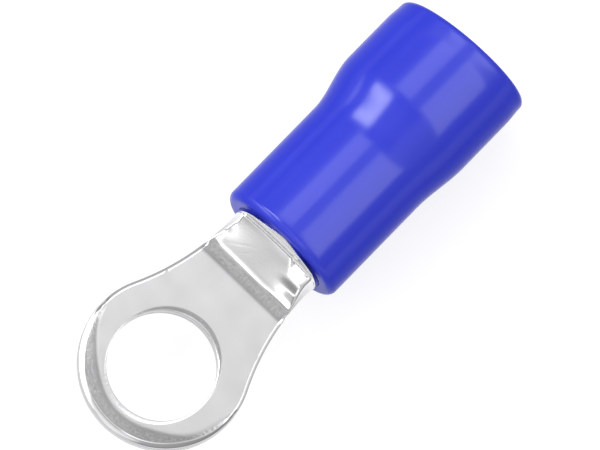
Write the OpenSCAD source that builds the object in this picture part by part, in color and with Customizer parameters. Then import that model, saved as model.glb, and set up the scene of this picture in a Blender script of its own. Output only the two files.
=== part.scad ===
// Insulated ring terminal for a crimped wire: a flat ring tongue pressed from one strip, whose
// other end is rolled into a wire barrel, in a stepped insulating sleeve.
// Origin: centre of the stud hole, on the underside of the tongue. +Z is up along the stud,
// +X runs from the ring to the wire entry. Millimetres.

/* [Ring] */
// Diameter of the stud hole
stud_hole_d = 4.3; // [3.2:0.1:5.3]
// Outer diameter of the ring
ring_d = 6.75; // [6.3:0.05:8]
// Distance of the ring's outer circle behind the hole, towards the barrel
ring_shift = 0.15; // [0:0.05:0.3]
// Thickness of the metal strip
strip_t = 0.85; // [0.6:0.05:1]
// Radius of the rounding that blanking leaves round the top edges
edge_roll = 0.2; // [0.05:0.05:0.3]
// Chamfer of the bottom edges
edge_break = 0.04; // [0.02:0.01:0.1]

/* [Neck and ramp] */
// Distance from the hole's centre to the front end of the sleeve
tongue_l = 6.5; // [6.2:0.1:9]
// Width of the neck in front of the barrel
neck_w = 4.1; // [3.6:0.05:4.15]
// Distance in front of the sleeve at which the ring's flanks run out into the neck
neck_run = 0.5; // [0.2:0.1:1]
// Slope of the ramp from the tongue up to the barrel, in degrees
ramp_angle = 26.5; // [22:0.5:34]
// Radius of the hollow at the foot of the ramp
foot_r = 1.9; // [0.8:0.05:2.2]
// Slope of the shoulder that climbs from the ramp's end to the top of the barrel, in degrees
shoulder_angle = 63; // [50:1:72]
// Height of the shoulder
shoulder_h = 0.67; // [0.4:0.01:0.9]
// Distance behind the sleeve's front end at which the shoulder tops out
shoulder_set = 0.21; // [0.05:0.01:0.4]
// Radius of the rounding at the top of the shoulder
shoulder_r = 0.3; // [0.1:0.05:0.5]
// Rake of the barrel's open front end, in degrees from upright
mouth_rake = 17; // [5:1:25]
// Distance in front of the sleeve at which the barrel's side walls begin
mouth_lead = 0.6; // [0.3:0.05:0.9]
// Widening of the bore's radius at the barrel's open front end
mouth_flare = 0.08; // [0.02:0.02:0.2]

/* [Wire barrel] */
// Bore of the wire barrel
barrel_bore_d = 2.5; // [2.4:0.05:2.8]
// Height of the barrel's axis above the tongue's underside
barrel_lift = 0.25; // [0:0.05:0.4]
// Length of the barrel inside the sleeve
barrel_l = 5.1; // [4:0.1:6]
// Width of the butt seam along the underside of the barrel
seam_w = 0.06; // [0.04:0.01:0.12]
// Lead-in chamfer of the barrel's bore at the wire end
barrel_chamfer = 0.25; // [0.1:0.05:0.4]

/* [Sleeve] */
// Length of the sleeve
sleeve_l = 10.65; // [9.6:0.05:14]
// Wall thickness of the sleeve
sleeve_wall = 0.67; // [0.6:0.01:0.9]
// Bore of the wire entry
entry_bore_d = 4.84; // [4.6:0.02:6.4]
// Length of the sloping shoulder between the sleeve's two diameters
slope_l = 2.25; // [1:0.05:3]
// Rounding of the sleeve's outer front rim
front_round = 0.3; // [0.1:0.01:0.34]
// Rounding of the sleeve's outer rear rim
rear_round = 0.25; // [0.1:0.05:0.4]
// Rounding of the sleeve's inner front rim
front_inner_round = 0.26; // [0.1:0.01:0.26]
// Rounding of the sleeve's inner rear rim
rear_inner_round = 0.16; // [0.05:0.01:0.2]
// Amount by which the rear end curls in
rear_curl = 0.05; // [0:0.01:0.1]
// Length over which the rear end curls in
curl_l = 1; // [0.6:0.1:1.5]

/* [Hidden] */
$fn = 96;
tin = "#D4D6D4";
blue = "#424BD7";

ring_r = ring_d / 2;
hole_r = stud_hole_d / 2;
neck_r = neck_w / 2;
bore_r = barrel_bore_d / 2;
barrel_r = bore_r + strip_t;
barrel_end = tongue_l + barrel_l;
barrel_top = barrel_lift + barrel_r;
cut = 1; // how far a cutting body reaches past the metal
arc_steps = 6; // flats in a small rounding

// Points of an arc about a centre, from one angle to another.
function arc(centre, r, from, to) =
    [for (i = [0 : arc_steps]) let (a = from + (to - from) * i / arc_steps)
        centre + r * [cos(a), sin(a)]];

// ---- Tongue: the ring, its hollow flanks and the neck. A flank is turned about the centre of
// the arc that runs smoothly from the ring's circle to the neck, which it meets at neck_end.
// It dips into the ring by a hair, so that the two rounds cross and don't only touch.
dip = 0.015;
neck_end = tongue_l - neck_run;
flank_run = neck_end - ring_shift;
flank_start_r = ring_r - dip;
flank_r = (flank_run * flank_run / (flank_start_r - neck_r) - (flank_start_r + neck_r)) / 2;
flank_angle = atan2(neck_r + flank_r, flank_run); // of the line through both arcs' centres

// The strip from its blanked edge inwards by a depth: the bottom edge is broken, and the top
// edge rolled over. The edge lies at radius r, with the metal inside it (-1) or outside (1).
module edge_section(r, side, depth) {
    polygon(concat(
        [[r + side * depth, 0], [r + side * edge_break, 0], [r, edge_break]],
        [for (p = arc([edge_roll, strip_t - edge_roll], edge_roll, 180, 90)) [r + side * p.x, p.y]],
        [[r + side * depth, strip_t]]));
}

module ring() {
    translate([ring_shift, 0, 0]) rotate_extrude() edge_section(ring_r, -1, ring_r);
}

module flank() {
    translate([neck_end, neck_r + flank_r, 0])
        rotate_extrude(angle = 90 - flank_angle, start = 180 + flank_angle)
            edge_section(flank_r, 1, ring_r);
}

module stud_hole() {
    translate([0, 0, -cut]) cylinder(r = hole_r, h = strip_t + 2 * cut);
    rotate_extrude() difference() {
        translate([hole_r / 2, strip_t - edge_roll]) square([hole_r / 2 + edge_roll, cut]);
        edge_section(hole_r, 1, ring_r);
    }
}

// ---- Ramp and barrel: a side profile of the pressed strip, kept within the rolled outside.
shoulder_top = [tongue_l + shoulder_set, barrel_top]; // where the shoulder would meet the top
ridge = shoulder_top - shoulder_h * [1 / tan(shoulder_angle), 1];
foot_x = ridge.x - (ridge.y - strip_t) / tan(ramp_angle);
foot_start = foot_x - foot_r * tan(ramp_angle / 2);

// Foot of the ramp, at a depth below the strip's top face.
function foot_arc(depth) =
    arc([foot_start, strip_t + foot_r], foot_r + depth, 270, 270 + ramp_angle);

// The shoulder's rounding stops short of level, so that it crosses the barrel's round outside.
shoulder_last = 14;
shoulder_centre = shoulder_top + shoulder_r * [tan(shoulder_angle / 2), -1];
shoulder_arc = arc(shoulder_centre, shoulder_r, 90 + shoulder_angle, 90 + shoulder_last);
over = shoulder_arc[arc_steps] + cut * [1, tan(shoulder_last)];

// The fold between the ramp and the shoulder, on the strip's lower face.
half_fold = (shoulder_angle - ramp_angle) / 2;
fold_under = ridge + strip_t / cos(half_fold) * [sin(ramp_angle + half_fold),
    -cos(ramp_angle + half_fold)];
fold_rise = 2 * bore_r * [1, tan(shoulder_angle)];

mouth_top = [tongue_l - mouth_lead, 0];
mouth_low = mouth_top + (barrel_r + cut) * [tan(mouth_rake), -1];

module along_width() {
    rotate([90, 0, 0]) linear_extrude(height = 4 * barrel_r, center = true) children();
}

module side_profile() {
    polygon(concat(foot_arc(0), [ridge], shoulder_arc, [over], [[barrel_end, over.y],
        [barrel_end, mouth_low.y], mouth_low, mouth_top, [foot_start, 0]]));
}

// Everything under the strip's lower face, from the ramp's foot to the fold.
module under_profile() {
    polygon(concat(foot_arc(strip_t), [fold_under, fold_under + fold_rise,
        [fold_under.x + fold_rise.x, mouth_low.y], [foot_start, mouth_low.y]]));
}

module along_barrel(r, from, to) {
    translate([from, 0, barrel_lift]) rotate([0, 90, 0]) cylinder(r = r, h = to - from);
}

// A round of the neck, whose axis rises from the barrel's to the tongue's top face.
neck_tilt = atan((strip_t - barrel_lift) / (tongue_l - foot_x));
module neck_round(r) {
    translate([tongue_l, 0, barrel_lift]) rotate([0, neck_tilt - 90, 0])
        cylinder(r = r, h = (tongue_l - foot_start) / cos(neck_tilt) + cut);
}

module ramp_and_barrel() {
    intersection() {
        along_width() side_profile();
        along_barrel(barrel_r, mouth_top.x, barrel_end);
    }
    intersection() {
        along_width() side_profile();
        neck_round(neck_r);
    }
}

// The bore is straight from behind the shoulder's lower face, which climbs clear of it there.
behind_shoulder = 0.1;
bore_start = behind_shoulder + fold_under.x
    + (barrel_lift + bore_r - fold_under.y) / tan(shoulder_angle);

// The hollow under the ramp, and the flared mouth between it and the straight bore.
module channel() {
    intersection() {
        along_width() under_profile();
        neck_round(neck_r - strip_t);
    }
    intersection() {
        along_width() under_profile();
        translate([mouth_top.x, 0, barrel_lift]) rotate([0, 90, 0])
            cylinder(r1 = bore_r + mouth_flare, r2 = bore_r, h = bore_start - mouth_top.x);
    }
}

module barrel_bore() {
    along_barrel(bore_r, bore_start, barrel_end + cut);
    translate([barrel_end - barrel_chamfer, 0, barrel_lift]) rotate([0, 90, 0])
        cylinder(r1 = bore_r, r2 = bore_r + barrel_chamfer + cut, h = barrel_chamfer + cut);
}

module seam() {
    translate([mouth_top.x, -seam_w / 2, barrel_lift - barrel_r - cut])
        cube([barrel_end - mouth_top.x + cut, seam_w, barrel_r + cut]);
}

module terminal() {
    color(tin) difference() {
        union() {
            ramp_and_barrel();
            difference() {
                union() {
                    ring();
                    flank();
                    mirror([0, 1, 0]) flank();
                }
                stud_hole();
            }
        }
        channel();
        barrel_bore();
        seam();
    }
}

// ---- Sleeve: one turned profile, with distances from its front end. The front grips the
// barrel, and the rear takes the wire's own cover.
front_r = barrel_r + sleeve_wall;
entry_r = entry_bore_d / 2;
rear_r = entry_r + sleeve_wall;
end_r = rear_r - rear_curl;
slope_steps = 12;

// The soft S between the two diameters, which starts at the barrel's wire end.
function slope_line(narrow_r, wide_r) = [for (i = [0 : slope_steps]) let (t = i / slope_steps)
    [narrow_r + (wide_r - narrow_r) * t * t * (3 - 2 * t), barrel_l + slope_l * t]];
inner_slope = slope_line(barrel_r, entry_r);

module sleeve_profile() {
    polygon(concat(
        arc([barrel_r + front_inner_round, front_inner_round], front_inner_round, 180, 270),
        arc([front_r - front_round, front_round], front_round, 270, 360),
        slope_line(front_r, rear_r),
        [[rear_r, sleeve_l - curl_l]],
        arc([end_r - rear_round, sleeve_l - rear_round], rear_round, 0, 90),
        arc([entry_r + rear_inner_round, sleeve_l - rear_inner_round], rear_inner_round, 90, 180),
        [for (i = [slope_steps : -1 : 0]) inner_slope[i]]));
}

module sleeve() {
    color(blue) translate([tongue_l, 0, barrel_lift]) rotate([0, 90, 0])
        rotate_extrude() sleeve_profile();
}

terminal();
sleeve();
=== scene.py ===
from math import atan2, ceil, cos, degrees, exp, hypot, pi, radians, sin, sqrt, tan

import bmesh
import bpy
import numpy as np
from mathutils import Euler, Matrix, Vector


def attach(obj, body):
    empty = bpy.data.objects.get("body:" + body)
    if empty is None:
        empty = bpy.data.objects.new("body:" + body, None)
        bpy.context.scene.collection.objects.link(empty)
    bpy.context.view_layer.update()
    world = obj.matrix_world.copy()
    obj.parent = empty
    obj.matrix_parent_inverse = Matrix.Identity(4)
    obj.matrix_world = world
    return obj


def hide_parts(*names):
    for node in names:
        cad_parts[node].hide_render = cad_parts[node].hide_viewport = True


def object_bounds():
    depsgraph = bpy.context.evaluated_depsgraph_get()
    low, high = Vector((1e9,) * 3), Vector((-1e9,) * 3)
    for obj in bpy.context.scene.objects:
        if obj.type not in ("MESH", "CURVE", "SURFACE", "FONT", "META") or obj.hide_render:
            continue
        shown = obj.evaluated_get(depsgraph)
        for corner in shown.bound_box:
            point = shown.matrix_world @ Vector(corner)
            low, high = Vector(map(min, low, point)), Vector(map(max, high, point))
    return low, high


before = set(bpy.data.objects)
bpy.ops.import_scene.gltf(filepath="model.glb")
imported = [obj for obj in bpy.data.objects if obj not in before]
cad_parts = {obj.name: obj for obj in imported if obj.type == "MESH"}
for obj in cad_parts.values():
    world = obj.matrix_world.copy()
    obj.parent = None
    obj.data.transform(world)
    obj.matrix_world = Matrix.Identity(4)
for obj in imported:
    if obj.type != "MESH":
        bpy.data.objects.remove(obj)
cad_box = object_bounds()

# ---- Terminal -----------------------------------------------------------------------------
# The one metal piece. Copper strip is blanked to a ring and a neck, pressed up into a ramp, and
# rolled behind it into a wire barrel whose two edges meet in a seam underneath. It is tin plated
# after forming, so every edge is softly rounded and the pressed faces are bright.
# Sizes are in millimetres, and places are measured from the stud hole's centre under the strip.
MM = 0.001
HOLE_R = 2.15
RING_R, RING_X = 3.375, 0.15
STRIP = 0.85
NECK_START, NECK_END, NECK_HALF = 2.9, 6.0, 2.05
WIDENING = 0.5      # length over which the neck widens to the barrel
BARREL_R, BORE_R, BARREL_Z, BARREL_END = 2.1, 1.25, 0.25, 11.6
SEAM_GAP = 0.06

# Plan of the tongue: a circle, and on either side a hollow arc that leaves it smoothly and runs
# out into the neck.
flank_run = NECK_END - RING_X
flank_r = (flank_run ** 2 / (RING_R - NECK_HALF) - (RING_R + NECK_HALF)) / 2
flank_turn = atan2(NECK_HALF + flank_r, flank_run)
flank_x = RING_X + RING_R * cos(flank_turn)


def half_width(x):
    if x >= NECK_END:
        return NECK_HALF + (BARREL_R - NECK_HALF) * min(1.0, (x - NECK_END) / WIDENING)
    return NECK_HALF + flank_r - sqrt(flank_r ** 2 - (NECK_END - x) ** 2)


def even(count):
    return [(i + 1) / count for i in range(count)]


def bent_line(corners, radii, arc_steps, run_spacing):
    """A chain of points from corner to corner, with each inner corner turned into an arc."""
    corners = [np.array(c, float) for c in corners]
    line = [corners[0]]
    for i in range(1, len(corners)):
        before, arc_in = line[-1], corners[i]
        inner = i < len(corners) - 1
        if inner:
            u, v = corners[i] - corners[i - 1], corners[i + 1] - corners[i]
            u, v = u / np.linalg.norm(u), v / np.linalg.norm(v)
            turn = atan2(u[0] * v[1] - u[1] * v[0], u @ v)
            arc_in = corners[i] - radii[i - 1] * tan(abs(turn) / 2) * u
        line += [before + (arc_in - before) * t for t in run_spacing[i - 1]]
        if inner:
            side = 1 if turn > 0 else -1
            centre = arc_in + radii[i - 1] * side * np.array([-u[1], u[0]])
            out = arc_in - centre
            for k in range(1, arc_steps[i - 1] + 1):
                t = turn * k / arc_steps[i - 1]
                line.append(centre + np.array([out[0] * cos(t) - out[1] * sin(t),
                                               out[0] * sin(t) + out[1] * cos(t)]))
    return np.array(line)


# Side view: the top and the underside of the strip. The tongue is flat up to the ramp's foot. The
# ramp climbs to a shallow groove, and a steep shoulder behind it lifts the strip to the barrel's
# top. Both chains have the same count of points, so that they pair up: on top, the groove's run
# and two small arcs match the one arc of the fold underneath.
RAMP = radians(25.9)
SHOULDER, SHOULDER_HIGH = radians(84), 0.69
GROOVE, GROOVE_TILT = 0.085, radians(9)
shoulder_top = np.array([6.50, BARREL_Z + BARREL_R])
ridge = shoulder_top - SHOULDER_HIGH * np.array([1 / tan(SHOULDER), 1])
groove = ridge - GROOVE * np.array([1, tan(GROOVE_TILT)])
foot = np.array([groove[0] - (groove[1] - STRIP) / tan(RAMP), STRIP])
foot_low = foot + STRIP * np.array([tan(RAMP / 2), -1])
fold = (SHOULDER - RAMP) / 2
ridge_low = ridge + STRIP / cos(fold) * np.array([sin(RAMP + fold), -cos(RAMP + fold)])
bore_top = BARREL_Z + BORE_R
shoulder_low = ridge_low + (bore_top - ridge_low[1]) * np.array([1 / tan(SHOULDER), 1])
growing = [t ** 1.8 for t in even(20)]
top_line = bent_line([(NECK_START, STRIP), foot, groove, ridge, shoulder_top,
                      (BARREL_END, BARREL_Z + BARREL_R)],
                     [1.9, 0.05, 0.05, 0.15], [24, 3, 4, 8],
                     [even(16), even(38), even(2), even(8), growing])
low_line = bent_line([(NECK_START, 0), foot_low, ridge_low, shoulder_low,
                      (BARREL_END, bore_top)],
                     [2.75, 0.7, 0.05], [24, 9, 8],
                     [even(16), even(38), even(8), growing])


def ease(t):
    """A smooth step from 0 to 1."""
    t = min(1.0, max(0.0, t))
    return t * t * (3 - 2 * t)


# Shape across the strip at each step along it: a flat top, then a round that turns down, and ends
# where the strip's edge is. The edge turns from facing sideways on the tongue to facing down
# under the ramp, and then swings under along the barrel's raked front to meet its fellow.
def underside(height, axis_z, radius, end_z, end_angle=None):
    """The strip's inside from its middle to its edge: a flat, and then an arc."""
    start = np.arccos(min(0.99999, max(-1.0, (height - axis_z) / radius)))
    if end_angle is None:
        end_angle = np.arccos(max(-1.0, min(1.0, (end_z - axis_z) / radius)))
    end_angle = max(end_angle, start)
    flat = [(y, height) for y in np.linspace(0, radius * sin(start), 30)]
    bend = [(radius * sin(a), axis_z + radius * cos(a))
            for a in np.linspace(start, end_angle, 60)[1:]]
    return np.array(flat + bend)


def outside(height, axis_z, width, flat_half, tuck):
    """The strip's outside from its middle to under it: a flat top, a round down to its widest
    level, and below that a wall that curls in as far as tuck says."""
    flat = [(y, height) for y in np.linspace(0, flat_half, 30)]
    bend = [(flat_half + (width - flat_half) * sin(a), axis_z + (height - axis_z) * cos(a))
            for a in np.linspace(0, pi / 2, 30)[1:]]
    curl = [(width * (1 - tuck * (1 - sin(a))), axis_z + width * cos(a))
            for a in np.linspace(pi / 2, pi, 60)[1:]]
    return np.array(flat + bend + curl)


def cut(line, amount, end):
    """The first part of a line, up to where a value that changes along it passes an end."""
    k = int(np.argmax(amount > end + 1e-6)) or len(line) - 1
    t = (end - amount[k - 1]) / max(1e-9, amount[k] - amount[k - 1])
    return np.vstack([line[:k], line[k - 1] + (line[k] - line[k - 1]) * t])


def steps_of(line):
    """The distances between a line's points."""
    return np.linalg.norm(np.diff(line, axis=0), axis=1)


def resampled(line, fractions):
    """The line's points at these fractions of its length."""
    lengths = np.concatenate([[0], np.cumsum(steps_of(line))])
    at = np.asarray(fractions) * lengths[-1]
    return np.stack([np.interp(at, lengths, line[:, k]) for k in range(2)], axis=1)


def softened(line, spread):
    """The line with its corners rounded over a length of about spread; both ends stay."""
    fine = resampled(line, np.linspace(0, 1, 160))
    step = steps_of(fine).sum() / 159
    reach = max(1, int(ceil(2.5 * spread / step)))
    weights = np.exp(-0.5 * (np.arange(-reach, reach + 1) * step / spread) ** 2)
    weights /= weights.sum()
    mirror = fine[1:reach + 1][::-1] * [-1, 1]
    tail = 2 * fine[-1] - fine[-reach - 1:-1][::-1]
    padded = np.vstack([mirror, fine, tail])
    return np.stack([np.convolve(padded[:, k], weights, "valid") for k in range(2)], axis=1)


# The strip's edge: blanking rolls it over along the top and leaves a small break along the bottom.
ROLL = 0.13         # width of the rounding along the top
BREAK = 0.05        # and of the one along the bottom
ROLL_STEPS, BREAK_STEPS = 9, 2
EDGE_COUNT = ROLL_STEPS + 1 + BREAK_STEPS


def turned_line(count, angles):
    """A line of even steps that turns down through the angles given along it, from 0,0 to 1,1,
    and how deep it goes for its width."""
    fine = np.interp(np.linspace(0, 1, 200), np.linspace(0, 1, len(angles)), np.radians(angles))
    line = np.vstack([[0, 0], np.cumsum(np.stack([np.cos(fine), np.sin(fine)], axis=1), axis=0)])
    line = resampled(line, np.linspace(0, 1, count + 1))
    return line / line[-1], line[-1][1] / line[-1][0]


rolled, ROLL_DEPTH = turned_line(ROLL_STEPS, [24, 29, 29, 29, 30, 32, 42, 62, 78, 90])


def edge_rows(top, corner_top, corner_low, low, roll):
    """Points down the edge between the top face's last point and the underside's. The corners
    are where the two faces would meet the edge if it were sharp."""
    wall = corner_low - corner_top
    drop = min(ROLL_DEPTH * roll, 0.45 * np.linalg.norm(wall))
    wall = wall / max(1e-9, np.linalg.norm(wall))
    p, q = corner_top + wall * drop, corner_low - wall * BREAK
    rows = [corner_top + (top - corner_top) * (1 - u) + (p - corner_top) * v
            for u, v in rolled[1:]]
    rows += [q]
    rows += [corner_low + (q - corner_low) * (1 - sin(t)) + (low - corner_low) * (1 - cos(t))
             for t in np.linspace(0, pi / 2, BREAK_STEPS + 2)[1:-1]]
    return rows


# Marks of the press on the ramp: a slight twist, a flatter patch at each corner of its foot, a dip
# at the head of its -Y side, two fine creases, a crown across it, and a knob by the ridge.
MARKS_START, MARKS_END = 4.9, 6.75
TWIST_X, TWIST_Y = 5.7, 0.35
PATCH_START, PATCH_SLOPE, PATCH_END, PATCH_FADE = 4.98, 0.09, 5.42, 0.36
DIP_START, DIP_END, DIP_SLOPE = 5.83, 6.33, 0.08
CROWN = 0.02


def fading(x, start, rise, end, fall):
    """Rises from 0 to 1 over a length from start, and falls back over one from end."""
    return ease((x - start) / rise) * (1 - ease((x - end) / fall))


def crease(x, y, start, end, depth, spread):
    """A V-shaped mark along a line, deepest in its middle."""
    run = np.array(end, float) - start
    t = ((x - start[0]) * run[0] + (y - start[1]) * run[1]) / (run @ run)
    if not 0 < t < 1:
        return 0.0
    off = abs((x - start[0]) * run[1] - (y - start[1]) * run[0]) / np.linalg.norm(run)
    return depth * sin(pi * t) * exp(-(off / spread) ** 2)


def mound(x, y, at, high, spread):
    return high * exp(-((x - at[0]) ** 2 + (y - at[1]) ** 2) / spread ** 2)


def press_marks(x, y):
    """How far the ramp's top lies above its plain form."""
    twist = -0.01 if y < TWIST_Y else -0.004
    z = twist * (x - TWIST_X) ** 2 * np.tanh(2 * (y - TWIST_Y)) * fading(x, 4.9, 0.3, 6.1, 0.3)
    for share, reach in ((ease((-y - 0.4) / 1.2), 0.62), (ease((y - 1.5) / 0.4), 0.34)):
        half = 0.5 * reach * share
        run = half * (1 + np.tanh((x - PATCH_START - half) / (0.12 + 0.3 * reach)))
        z -= PATCH_SLOPE * run * share * (1 - ease((x - PATCH_END) / PATCH_FADE))
    dip = ease((-y - 0.76 - 0.5 * (DIP_END - x)) / 0.12) * (1 - ease((x - DIP_END) / 0.1))
    z -= DIP_SLOPE * max(0.0, x - DIP_START) * dip
    z -= crease(x, y, (5.1, 1.62), (5.8, 0.5), 0.0022, 0.022)
    z -= crease(x, y, (5.14, 0.95), (5.6, 0.42), 0.0018, 0.018)
    z -= CROWN * y * y * fading(x, 5.05, 1.2, 6.35, 0.25)
    return z + mound(x, y, (6.42, -1.66), 0.05, 0.1)


MOUTH_X, MOUTH_RAKE = 5.9, radians(17)
MOUTH_CLOSED = 0.12     # how far behind the shoulder's top the barrel's edges have met
MOUTH_BACK = 0.566      # how far behind MOUTH_X they have come by then
mouth_first = int(np.argmax(top_line[:, 0] > MOUTH_X))
mouth_last = int(np.argmax(top_line[:, 0] > shoulder_top[0] + MOUTH_CLOSED))
outer_seam, inner_seam = (pi - SEAM_GAP / 2 / r for r in (BARREL_R, BORE_R))

FLANK_ROUND, FLANK_L = 0.32, 1.3    # how much narrower the ramp's flat gets, and over what length
RIDGE_BOW = 0.035   # how far the ridge's ends lie behind its middle
AXIS_LOW_X = 6.5    # where the neck's sloping axis comes down to the barrel's
SOFT = 0.055        # rounding between the flat of the ramp and its flanks
FADING_ROWS = 6     # rows down the edge over which the press marks die out
HALF_COLUMNS = 52
COLUMNS = 2 * HALF_COLUMNS + 1
fractions = np.linspace(0, 1, HALF_COLUMNS + 1)


def neck_axis(x, slope):
    """Height of the axis that the neck's round flanks turn about."""
    return min(STRIP - 0.02, max(BARREL_Z, STRIP - (x - foot[0]) * slope))


def strip_loop(i):
    """The points round the strip at one step along it: over its top towards -Y, down that edge,
    back along the underside, and up the other edge."""
    (x, high), (low_x, low) = top_line[i], low_line[i]
    in_mouth = i >= mouth_first
    closing = min(1.0, max(0, i - mouth_first) / (mouth_last - mouth_first))
    axis_z = neck_axis(x, (STRIP - BARREL_Z) / (AXIS_LOW_X - foot[0]))
    low_axis = neck_axis(low_x, 1 / 3)
    width = half_width(x)
    chord = sqrt(max(0.0, width ** 2 - (high - axis_z) ** 2))
    flat_half = width - FLANK_ROUND * ease((x - foot[0]) / FLANK_L)
    flat_half = chord + (flat_half - chord) * (1 - ease((x - ridge[0] + 0.1) / 0.24))
    outer = outside(high, axis_z, width, flat_half, ease((x - 5.2) / 0.6))
    if in_mouth:
        begin = np.arccos((0 - axis_z) / width)
        outer_angle = begin + (outer_seam - begin) * closing * (3 - closing) / 2
        outer = cut(outer, np.arctan2(outer[:, 0], outer[:, 1] - axis_z), outer_angle)
        inner = underside(low, low_axis, BORE_R, 0, outer_angle if closing < 1 else inner_seam)
    else:
        turned = ease((x - foot[0] + 0.15) / (MOUTH_X - foot[0] - 0.1))
        outer = cut(outer, -outer[:, 1], -high * (1 - turned))
        inner_r = width + (BORE_R - width) * ease((low_x - foot[0]) / 1.2)
        if x < foot[0] - 0.1:
            inner = np.array([(y, 0.0) for y in np.linspace(0, width, 90)])
        else:
            inner = underside(max(low, 1e-4), min(low_axis, low + 0.55), inner_r, 0)
            inner[-1, 1] = 0
    spread = SOFT * ease((x - 4.6) / 0.8) * (1 - 0.6 * ease((x - 6.4) / 0.4))
    if spread > 0.004:
        outer = softened(outer, spread)

    outer_length, inner_length = steps_of(outer).sum(), steps_of(inner).sum()
    slant = 1
    if x < foot[0]:
        slant = hypot(1, (half_width(x + 0.01) - half_width(x - 0.01)) / 0.02)
    roll = min(ROLL * slant, 0.25 * outer_length)
    tops = resampled(outer, fractions * (1 - roll / outer_length))
    lows = resampled(inner, fractions * (1 - BREAK / inner_length))
    edge = edge_rows(tops[-1], outer[-1], inner[-1], lows[-1], roll / slant)

    def along(y, z, is_low):
        """Where along the part a point of this loop lies."""
        at = low_x if is_low else x
        if in_mouth:
            edge_at = MOUTH_X - (BARREL_Z + BARREL_R * cos(outer_angle)) * tan(MOUTH_RAKE)
            if closing >= 1:
                back = exp(-(x - top_line[mouth_last][0]) / 0.4)
                edge_at = at + (MOUTH_X + MOUTH_BACK - at) * back
            t = min(1.0, max(0.0, (atan2(y, z - axis_z) - 1.0) / (outer_angle - 1.0)))
            at = at + (edge_at - at) * t ** 1.5
            if closing < 1:
                at += 0.25 * sin(pi * closing) * t ** 3 * (1 - t)
        elif is_low:
            at = low_x + (x - low_x) * min(1.0, abs(y) / max(inner_r, 1e-6)) ** 2
        if not is_low:
            at -= RIDGE_BOW * (y / 1.8) ** 2 * exp(-((x - ridge[0]) / 0.45) ** 2)
        return at

    halves = []
    for side in (1, -1):
        top, down = [], []
        for y, z in tops:
            at = along(y, z, False)
            if MARKS_START < at < MARKS_END:
                z += press_marks(at, side * y)
            top.append((at, side * y, z))
        marked = press_marks(top[-1][0], top[-1][1]) if MARKS_START < x < MARKS_END else 0.0
        for k, (y, z) in enumerate(edge):
            at = along(y, z, False)
            at += (along(y, z, True) - at) * ease(k / (EDGE_COUNT - 1))
            down.append((at, side * y, z + marked * max(0.0, 1 - k / FADING_ROWS)))
        halves.append((top, down, [(along(y, z, True), side * y, z) for y, z in lows]))
    (top, down, under), (top_2, down_2, under_2) = halves
    return top[::-1] + top_2[1:] + down_2 + under_2[::-1] + under[1:] + down[::-1]


verts, faces = [], []
per_loop = 2 * (COLUMNS + EDGE_COUNT)
for i in range(len(top_line)):
    verts += strip_loop(i)
last = len(verts) - per_loop
for a in range(0, last, per_loop):
    b = a + per_loop
    for j in range(per_loop):
        k = (j + 1) % per_loop
        faces.append((a + j, a + k, b + k, b + j))

# The barrel's wire end: a flat face between its outside and its bore, and a small one on either
# side of the seam.
under_last = 2 * COLUMNS + EDGE_COUNT - 1       # in a loop, the underside's point below point 0
for j in range(COLUMNS - 1):
    faces.append((last + j, last + j + 1, last + under_last - j - 1, last + under_last - j))
for edge_first in (COLUMNS - 1, under_last):
    faces.append(tuple(last + (edge_first + k) % per_loop for k in range(EDGE_COUNT + 2)))


def add(point):
    verts.append(point)
    return len(verts) - 1


# The ring is closed by spokes from the hole to the outline. Those that face the neck end on the
# strip's first loop. The press leaves the ring's tip slightly bevelled: a crescent whose inner edge
# comes close to the hole at the tip and runs out to the outline on both sides. Its distance from
# the hole's centre, by direction in degrees:
CRESCENT = [(80, 3.5), (95, 3.0), (107, 2.72), (120, 2.5), (135, 2.36), (150, 2.33), (180, 2.4),
            (215, 2.43), (228, 2.55), (240, 2.72), (252, 2.84), (265, 2.94), (285, 3.5)]
BEVEL_SLOPE, BEVEL_START = 0.165, 0.3
DROOP, DROOP_R = 0.25, 2.98     # the tip turns down more, outside this radius
NO_BEVEL = 9                    # a distance that lies beyond the outline
TIP_FLAT = 0.045                # how far the outline is pressed in at the tip
TIP_ROLL, SIDE_ROLL = 0.1, 0.01     # how much wider the edge's rounding is at the tip, and beside it
RIM, RIM_NECK, RIM_TIP = 0.06, 0.21, 0.17   # the rounding of the hole's top, and what is added
turns = np.arange(80, 286)
blur = np.hanning(21) / np.hanning(21).sum()
plain = np.interp(turns, *zip(*CRESCENT))
crescent = turns, np.convolve(np.pad(plain, 10, "edge"), blur, "valid")


def bevel(r, angle):
    """How far the ring's top lies below flat."""
    d = r - np.interp(degrees(angle) % 360, *crescent, left=NO_BEVEL, right=NO_BEVEL)
    if d <= 0:
        return 0.0
    start = min(d, BEVEL_START)
    bent = BEVEL_SLOPE * (start * start / 2 / BEVEL_START + d - start)
    return bent + DROOP * max(0.0, r - DROOP_R) ** 2


def roll_at(angle):
    """Width of the rounding along the ring's edge: wider round the tip."""
    from_neck = abs((angle + pi) % (2 * pi) - pi)
    beside = exp(-((degrees(angle) % 360 - 145) / 32) ** 2)
    return ROLL + TIP_ROLL * ease((from_neck - radians(90)) / radians(40)) + SIDE_ROLL * beside


def outline(angle):
    """Distance from the hole's centre to the outline, along a spoke."""
    c, s = cos(angle), abs(sin(angle))
    ring_hit = RING_X * c + sqrt(RING_R ** 2 - (RING_X * s) ** 2)
    if ring_hit * c <= flank_x:
        return ring_hit - TIP_FLAT * max(0.0, -c) ** 2
    near, far = 1.0, 4.5
    for _ in range(50):
        middle = (near + far) / 2
        if middle * s < half_width(middle * c):
            near = middle
        else:
            far = middle
    return near


def rim_at(angle):
    """Width of the rounding round the hole's top: wider towards the neck and the tip."""
    c = cos(angle)
    return RIM + (RIM_NECK if c > 0 else RIM_TIP) * c * c


SPOKES, TOP_ROWS, LOW_ROWS = 150, 24, 6
rim, RIM_DEPTH = turned_line(12, [0, 3, 5, 7, 8, 10, 13, 22, 58, 80, 90])


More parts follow.
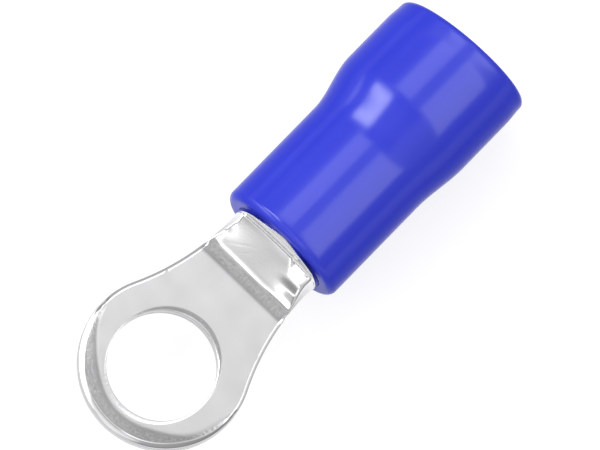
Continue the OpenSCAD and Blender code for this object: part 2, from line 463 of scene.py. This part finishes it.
def hole_profile(width):
    """Section of the hole's wall from the underside up and over its rounded rim, as (r, z)."""
    wall = [(HOLE_R + BREAK, 0.0), (HOLE_R + BREAK * 0.3, BREAK * 0.3), (HOLE_R, BREAK)]
    return wall + [(HOLE_R + width * (1 - u), STRIP - width * RIM_DEPTH * v)
                   for u, v in rim[::-1]]


def spoke(angle, outer_top, outer_low):
    """Points from the underside's outer end, in to the hole, over its rim and out again."""
    end_r, low_r = hypot(*outer_top[:2]), hypot(*outer_low[:2])
    wall = hole_profile(rim_at(angle))
    section = [(wall[0][0] + (low_r - wall[0][0]) * t, 0.0)
               for t in np.linspace(1, 0, LOW_ROWS)[1:-1]]
    section += [(r, z - bevel(r, angle) * z / STRIP) for r, z in wall]
    for t in np.linspace(0, 1, TOP_ROWS)[1:-1]:
        r = wall[-1][0] + (end_r - wall[-1][0]) * t
        section.append((r, STRIP - bevel(r, angle)))
    return [(r * cos(angle), r * sin(angle), z) for r, z in section]


corner = atan2(half_width(NECK_START), NECK_START)
chains = []
for n, angle in enumerate(np.linspace(corner, 2 * pi - corner, SPOKES + 1)):
    if n == 0:
        edge_ids = [0] + [per_loop - 1 - k for k in range(EDGE_COUNT + 1)]
    elif n == SPOKES:
        edge_ids = [COLUMNS - 1 + k for k in range(EDGE_COUNT + 2)]
    else:
        end = outline(angle)
        slant = hypot(1, (outline(angle + 0.005) - outline(angle - 0.005)) / 0.01 / end)
        start = end - roll_at(angle) * slant
        top, low = np.array([start, STRIP - bevel(start, angle)]), np.array([end - BREAK, 0.0])
        corner_top, corner_low = np.array([end, STRIP - bevel(end, angle)]), np.array([end, 0.0])
        edge = [top] + edge_rows(top, corner_top, corner_low, low, roll_at(angle)) + [low]
        edge_ids = [add((r * cos(angle), r * sin(angle), z)) for r, z in edge]
    inner_ids = [add(p) for p in spoke(angle, verts[edge_ids[0]], verts[edge_ids[-1]])]
    chains.append([edge_ids[-1]] + inner_ids + edge_ids[:-1])
for before, chain in zip(chains, chains[1:]):
    for k in range(len(chain)):
        m = (k + 1) % len(chain)
        faces.append((before[k], chain[k], chain[m], before[m]))

inner_count = len(chains[0]) - EDGE_COUNT
before = chains[-1][:inner_count]
for j in range(COLUMNS - 2, -1, -1):
    chain = chains[0][:inner_count]
    if j > 0:
        x, y, _ = verts[j]
        inner_ids = [add(p) for p in spoke(atan2(y, x), verts[j], verts[under_last - j])]
        chain = [under_last - j] + inner_ids + [j]
    for k in range(inner_count - 1):
        faces.append((before[k], chain[k], chain[k + 1], before[k + 1]))
    before = chain


def piece(name, points, polygons):
    """A smooth closed mesh with its normals outward, from points in millimetres."""
    mesh = bpy.data.meshes.new(name)
    mesh.from_pydata([tuple(c * MM for c in p) for p in points], [], polygons)
    mesh.validate()
    mesh.polygons.foreach_set("use_smooth", [True] * len(mesh.polygons))
    mesh.update()
    shell = bmesh.new()
    shell.from_mesh(mesh)
    bmesh.ops.recalc_face_normals(shell, faces=shell.faces)
    shell.to_mesh(mesh)
    shell.free()
    made = bpy.data.objects.new(name, mesh)
    bpy.context.scene.collection.objects.link(made)
    return made


def linear(code):
    """A hex colour of the screen, such as D9DAD8, as a linear RGBA."""
    parts = [int(code[i:i + 2], 16) / 255 for i in (0, 2, 4)]
    return [p / 12.92 if p <= 0.04045 else ((p + 0.055) / 1.055) ** 2.4 for p in parts] + [1.0]


def new_tree(holder):
    """The empty node tree of a material or a world."""
    holder.use_nodes = True
    holder.node_tree.nodes.clear()
    return holder.node_tree


def node(tree, kind, inputs=(), **settings):
    """Adds a node. Settings are its properties; inputs are pairs of an input's name or number
    and its value, or the output that feeds it."""
    made = tree.nodes.new(kind)
    for key, value in settings.items():
        setattr(made, key, value)
    for key, value in inputs:
        if isinstance(value, bpy.types.NodeSocket):
            tree.links.new(value, made.inputs[key])
        else:
            made.inputs[key].default_value = value
    return made


# Tin plate on pressed copper: a neutral bright metal. To the eye the flats are smooth, with a faint
# cloud in their gloss. Faces that lean a little, as the crescent does, are satin with a fine grain.
# The upright walls round the ring and the hole are a darker grey: partly the duller sheared edge,
# and partly painted shade for the shadowed floor that those walls reflect.
CLOUD, GRAIN = 0.9, 0.1     # sizes of the cloud and of the grain
SMOOTH_BUMP, SATIN_BUMP = 0.0005, 0.005
terminal = piece("tinned_terminal", verts, faces)
tin = bpy.data.materials.new("tin plate on copper")
tree = new_tree(tin)
place = node(tree, "ShaderNodeTexCoord").outputs
facing_up = node(tree, "ShaderNodeSeparateXYZ", [("Vector", place["Normal"])]).outputs["Z"]
cloud = node(tree, "ShaderNodeTexNoise", [
    ("Vector", place["Object"]), ("Scale", 1 / (CLOUD * MM)), ("Detail", 3.0)])
gloss = node(tree, "ShaderNodeMapRange", [
    ("Value", cloud.outputs["Fac"]), ("From Min", 0.3), ("From Max", 0.7),
    ("To Min", 0.12), ("To Max", 0.17)])
leaning = node(tree, "ShaderNodeMapRange", [
    ("Value", facing_up), ("From Min", 0.9985), ("From Max", 0.99)],
    interpolation_type="SMOOTHSTEP")
not_steep = node(tree, "ShaderNodeMapRange", [
    ("Value", facing_up), ("From Min", 0.945), ("From Max", 0.97)],
    interpolation_type="SMOOTHSTEP")
satin = node(tree, "ShaderNodeMath", [
    (0, leaning.outputs["Result"]), (1, not_steep.outputs["Result"])], operation="MULTIPLY")
grain = node(tree, "ShaderNodeTexNoise", [
    ("Vector", place["Object"]), ("Scale", 1 / (GRAIN * MM)), ("Detail", 3.0)])
depth = node(tree, "ShaderNodeMapRange", [
    ("Value", satin.outputs[0]), ("To Min", SMOOTH_BUMP * MM), ("To Max", SATIN_BUMP * MM)])
bump = node(tree, "ShaderNodeBump", [
    ("Strength", 1.0), ("Distance", depth.outputs["Result"]), ("Height", grain.outputs["Fac"])])
dull = node(tree, "ShaderNodeMath", [
    (0, satin.outputs[0]), (1, 0.08), (2, gloss.outputs["Result"])], operation="MULTIPLY_ADD")
frost = node(tree, "ShaderNodeMath", [
    (0, grain.outputs["Fac"]), (1, satin.outputs[0])], operation="MULTIPLY")
patchy = node(tree, "ShaderNodeMapRange", [
    ("Value", frost.outputs[0]), ("From Min", 0.35), ("From Max", 0.65)])
plate = node(tree, "ShaderNodeMix", [
    ("Factor", patchy.outputs["Result"]), (6, linear("E8E8E9")), (7, linear("D4D4D5"))],
    data_type="RGBA")
# Painted shade: upright faces before the barrel are mixed to a darker grey, partly for the duller
# sheared edge and partly to stand for the shadowed floor that they reflect.
slope_of = node(tree, "ShaderNodeMath", [(0, facing_up)], operation="ABSOLUTE")
upright = node(tree, "ShaderNodeMapRange", [
    ("Value", slope_of.outputs[0]), ("From Min", 0.8), ("From Max", 0.25)])
along_part = node(tree, "ShaderNodeSeparateXYZ", [("Vector", place["Object"])])
before_barrel = node(tree, "ShaderNodeMapRange", [
    ("Value", along_part.outputs["X"]), ("From Min", 6.2 * MM), ("From Max", 5.2 * MM)])
sheared_edge_and_shade = node(tree, "ShaderNodeMath", [
    (0, upright.outputs["Result"]), (1, before_barrel.outputs["Result"])], operation="MULTIPLY")
metal = node(tree, "ShaderNodeMix", [
    ("Factor", sheared_edge_and_shade.outputs[0]), (6, plate.outputs[2]), (7, linear("A4A4A6"))],
    data_type="RGBA")
shader = node(tree, "ShaderNodeBsdfPrincipled", [
    ("Base Color", metal.outputs[2]), ("Metallic", 1.0),
    ("Roughness", dull.outputs[0]), ("Normal", bump.outputs["Normal"])])
node(tree, "ShaderNodeOutputMaterial", [("Surface", shader.outputs["BSDF"])])
terminal.data.materials.append(tin)
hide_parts("terminal")
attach(terminal, "root")

# ---- Sleeve -------------------------------------------------------------------------------
# The insulating sleeve, moulded in soft PVC and pushed over the barrel: a narrow front that grips
# it, a soft shoulder, and a wider rear for the wire's own cover. Its wire end is cut off a little
# out of square.
SLEEVE_X, SLEEVE_L, SLEEVE_Z = 6.5, 10.65, 0.25
FRONT_R, REAR_R, WALL = 2.77, 3.09, 0.67
FRONT_ROUND, FRONT_INNER, REAR_ROUND, REAR_INNER = 0.3, 0.08, 0.25, 0.16
SLOPE_START, SLOPE_L, CURL, CURL_L = 4.95, 2.38, 0.05, 1.0
BELL_SHIFT = 0.11   # the wide end sits a little off the narrow one's axis
CUT_SLANT = 0.055   # and is cut off out of square
LIP_LEAN, LIP_L = 0.06, 2.2     # the front lip leans back at the top, and this much of the front
ROUND = 160


def arc(middle_r, middle_u, r, start, end, count):
    return [(middle_r + r * cos(radians(a)), middle_u + r * sin(radians(a)))
            for a in np.linspace(start, end, count)]


def slope(narrow, wide, count):
    return [(narrow + (wide - narrow) * ease(t), SLOPE_START + SLOPE_L * t)
            for t in np.linspace(0, 1, count)]


# Its wall in section, as distances from the axis and from the front: the front lip, the outside,
# the rear lip, and the inside back to the front.
bore, entry = FRONT_R - WALL, REAR_R - WALL
slope_end = SLOPE_START + SLOPE_L
profile = arc(bore + FRONT_INNER, FRONT_INNER, FRONT_INNER, 180, 270, 8)
profile += arc(FRONT_R - FRONT_ROUND, FRONT_ROUND, FRONT_ROUND, 270, 360, 12)
profile += [(FRONT_R, u) for u in np.linspace(FRONT_ROUND, SLOPE_START, 20)[1:-1]]
profile += slope(FRONT_R, REAR_R, 24)
profile += [(REAR_R, u) for u in np.linspace(slope_end, SLEEVE_L - CURL_L, 8)[1:]]
profile += [(REAR_R - CURL * ease(t), SLEEVE_L - CURL_L + (CURL_L - REAR_ROUND) * t)
            for t in np.linspace(0, 1, 7)[1:-1]]
profile += arc(REAR_R - CURL - REAR_ROUND, SLEEVE_L - REAR_ROUND, REAR_ROUND, 0, 90, 10)
profile += arc(entry + REAR_INNER, SLEEVE_L - REAR_INNER, REAR_INNER, 90, 180, 6)
profile += [(entry, u) for u in np.linspace(slope_end, SLEEVE_L - REAR_INNER, 8)[-2:0:-1]]
profile += slope(bore, entry, 16)[::-1]
profile += [(bore, u) for u in np.linspace(FRONT_INNER, SLOPE_START, 6)[-2:0:-1]]
points, polygons = [], []
for n in range(ROUND):
    a = 2 * pi * n / ROUND
    for r, u in profile:
        y = r * sin(a) + BELL_SHIFT * ease((u - SLOPE_START) / SLOPE_L)
        skew = CUT_SLANT * ease((u - slope_end) / (SLEEVE_L - slope_end))
        lean = LIP_LEAN * r * (1 + cos(a)) / 2 * (1 - ease(u / LIP_L))
        points.append((SLEEVE_X + u - skew * y + lean, y, SLEEVE_Z + r * cos(a)))
    here, beside = n * len(profile), (n + 1) % ROUND * len(profile)
    for k in range(len(profile)):
        q = (k + 1) % len(profile)
        polygons.append((here + k, here + q, beside + q, beside + k))
sleeve = piece("blue_sleeve", points, polygons)

# Soft PVC, injection moulded: a deep blue, faintly uneven, with a half-gloss skin and a very fine
# grain. The gloss is kept low where the surface turns away, or its edge would go pale.
TONE, SKIN = 2.5, 0.06      # sizes of the unevenness in the blue, and of the grain
vinyl = bpy.data.materials.new("moulded blue pvc")
tree = new_tree(vinyl)
where = node(tree, "ShaderNodeTexCoord").outputs["Object"]
cloud = node(tree, "ShaderNodeTexNoise", [
    ("Vector", where), ("Scale", 1 / (TONE * MM)), ("Detail", 4.0)])
tone = node(tree, "ShaderNodeMix", [
    ("Factor", cloud.outputs["Fac"]), (6, linear("2F3ACE")), (7, linear("3541D6"))],
    data_type="RGBA")
skin = node(tree, "ShaderNodeTexNoise", [
    ("Vector", where), ("Scale", 1 / (SKIN * MM)), ("Detail", 2.0)])
bump = node(tree, "ShaderNodeBump", [
    ("Strength", 0.15), ("Distance", 0.004 * MM), ("Height", skin.outputs["Fac"])])
facing = node(tree, "ShaderNodeLayerWeight", [("Blend", 0.5)]).outputs["Facing"]
edge_gloss = node(tree, "ShaderNodeMapRange", [
    ("Value", facing), ("From Min", 0.13), ("From Max", 0.42), ("To Min", 0.5), ("To Max", 0.04)])
shader = node(tree, "ShaderNodeBsdfPrincipled", [
    ("Base Color", tone.outputs[2]), ("Roughness", 0.18), ("IOR", 1.53),
    ("Specular IOR Level", edge_gloss.outputs["Result"]), ("Normal", bump.outputs["Normal"])])
node(tree, "ShaderNodeOutputMaterial", [("Surface", shader.outputs["BSDF"])])
sleeve.data.materials.append(vinyl)
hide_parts("sleeve")
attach(sleeve, "root")

# ---- Floor --------------------------------------------------------------------------------
# A sheet of white paper under the part. It glows to the camera and in reflections, so that it is
# as white as a lit sweep and still takes the part's shadow.
HALF_FLOOR, FLOOR_GLOW = 2.0, 0.72
floor_z = cad_box[0][2]
floor = bpy.data.objects.new("floor", bpy.data.meshes.new("floor"))
floor.data.from_pydata([(x * HALF_FLOOR, y * HALF_FLOOR, floor_z)
                        for x, y in ((-1, -1), (1, -1), (1, 1), (-1, 1))], [], [(0, 1, 2, 3)])
bpy.context.scene.collection.objects.link(floor)
paper = bpy.data.materials.new("white paper sweep")
tree = new_tree(paper)
path = node(tree, "ShaderNodeLightPath")
seen = path.outputs["Is Camera Ray"]
for ray in ("Is Glossy Ray", "Is Transmission Ray"):
    seen = node(tree, "ShaderNodeMath", [(0, seen), (1, path.outputs[ray])],
                operation="MAXIMUM").outputs[0]
glowing = node(tree, "ShaderNodeMath", [(0, seen), (1, FLOOR_GLOW)], operation="MULTIPLY")
diffuse = node(tree, "ShaderNodeBsdfDiffuse", [("Color", linear("AAAAAA"))])
glow = node(tree, "ShaderNodeEmission", [
    ("Color", linear("FFFFFF")), ("Strength", glowing.outputs[0])])
both = node(tree, "ShaderNodeAddShader", [(0, diffuse.outputs[0]), (1, glow.outputs[0])])
node(tree, "ShaderNodeOutputMaterial", [("Surface", both.outputs[0])])
floor.data.materials.append(paper)

# ---- Light --------------------------------------------------------------------------------
# A studio dome, brightest overhead and low along the horizon, with soft boxes and strips of light
# in it, and dark card between them that draws the dark bands in the metal.
world = bpy.data.worlds.new("studio")
bpy.context.scene.world = world
tree = new_tree(world)
where = node(tree, "ShaderNodeTexCoord").outputs["Generated"]
towards = node(tree, "ShaderNodeSeparateXYZ", [("Vector", where)]).outputs
lean_x, lean_y = (node(tree, "ShaderNodeMath", [(0, towards[axis]), (1, towards["Z"])],
                       operation="ARCTAN2").outputs[0] for axis in "XY")


def window(value, low, high, soft):
    """1 between two angles in degrees, falling off over soft degrees beyond them."""
    up = node(tree, "ShaderNodeMapRange", [
        ("Value", value), ("From Min", radians(low - soft)), ("From Max", radians(low + soft))],
        interpolation_type="SMOOTHSTEP")
    down = node(tree, "ShaderNodeMapRange", [
        ("Value", value), ("From Min", radians(high - soft)), ("From Max", radians(high + soft)),
        ("To Min", 1.0), ("To Max", 0.0)], interpolation_type="SMOOTHSTEP")
    return node(tree, "ShaderNodeMath", [
        (0, up.outputs["Result"]), (1, down.outputs["Result"])], operation="MULTIPLY").outputs[0]


# strength, lean towards +X from, to, lean towards +Y from, to, softness; in degrees from overhead.
# Those with a strength below 0 are dark card.
boxes = [
    (1.75, 7.9, 24, 5.5, 33.5, 0.8),        # two long boxes: the streaks along the sleeve
    (1.75, 7.9, 24, -62, -13, 0.8),
    (-0.35, 3, 24, 41, 60, 2.0),
    (7.0, -21, -5, 27, 62, 4.0),            # a lamp: the bright patch on the sleeve's shoulder
    (-0.1, -27, 4, 9, 26, 2.5),
    (3.0, -76, -46, 52, 90, 3.0),           # low lights that steep edges towards -X show
    (-0.25, -37, -25, 44, 54, 2.0),
    (2.2, -36.5, -32.5, -15, 40, 1.0),      # a strip: the bright line along the ramp's foot
    (0.8, -62, -39, -44, -14, 2.0),
    (0.15, -43, -38, -14, 26, 1.5),         # what the ramp itself shows: a light and a dark side
    (-0.3, -62, -43.7, -14, 60, 2.0),
    (0.75, -101, -66, -50, 50, 2.0),
    (0.3, 22, 80, -60, 60, 6.0),
    (-0.19, -31, 4, -22, 26, 2.5),          # what the crescent and the foot's round show
    (-0.17, -6, 4, -22, 26, 2.5),
    (0.12, -19, -13, -22, 26, 1.5),
    (-0.2, -26, -20.5, -22, 26, 1.0),
    (-0.12, -31, 4, -22, -4, 2.5),
]
rise = node(tree, "ShaderNodeMapRange", [
    ("Value", towards["Z"]), ("From Min", 0.15), ("From Max", 0.8),
    ("To Min", 0.26), ("To Max", 0.75)])
horizon = node(tree, "ShaderNodeMapRange", [
    ("Value", towards["Z"]), ("From Min", 0.04), ("From Max", 0.14),
    ("To Min", 0.45), ("To Max", 0.0)])
total = node(tree, "ShaderNodeMath", [
    (0, rise.outputs["Result"]), (1, horizon.outputs["Result"])], operation="ADD").outputs[0]
for strength, x0, x1, y0, y1, soft in boxes:
    area = node(tree, "ShaderNodeMath", [
        (0, window(lean_x, x0, x1, soft)), (1, window(lean_y, y0, y1, soft))],
        operation="MULTIPLY")
    total = node(tree, "ShaderNodeMath", [
        (0, area.outputs[0]), (1, strength), (2, total)], operation="MULTIPLY_ADD").outputs[0]
sky = node(tree, "ShaderNodeBackground", [("Color", linear("FFFFFF")), ("Strength", total)])
node(tree, "ShaderNodeOutputWorld", [("Surface", sky.outputs[0])])

# ---- Camera -------------------------------------------------------------------------------
# It looks down on the part from nearly overhead, from far off and through a long lens, which
# leaves next to no perspective.
camera = bpy.data.objects.new("camera", bpy.data.cameras.new("camera"))
stand = Vector((-69.557, -21.562, 453.991)) * MM
turn = Euler([radians(a) for a in (8.8403, -4.7651, -46.3076)])
camera.matrix_world = Matrix.Translation(stand) @ turn.to_matrix().to_4x4()
camera.data.sensor_width = 36
camera.data.lens = 716.356
camera.data.clip_start = 0.01
bpy.context.scene.collection.objects.link(camera)
bpy.context.scene.camera = camera
bpy.context.scene.view_settings.view_transform = "Standard"
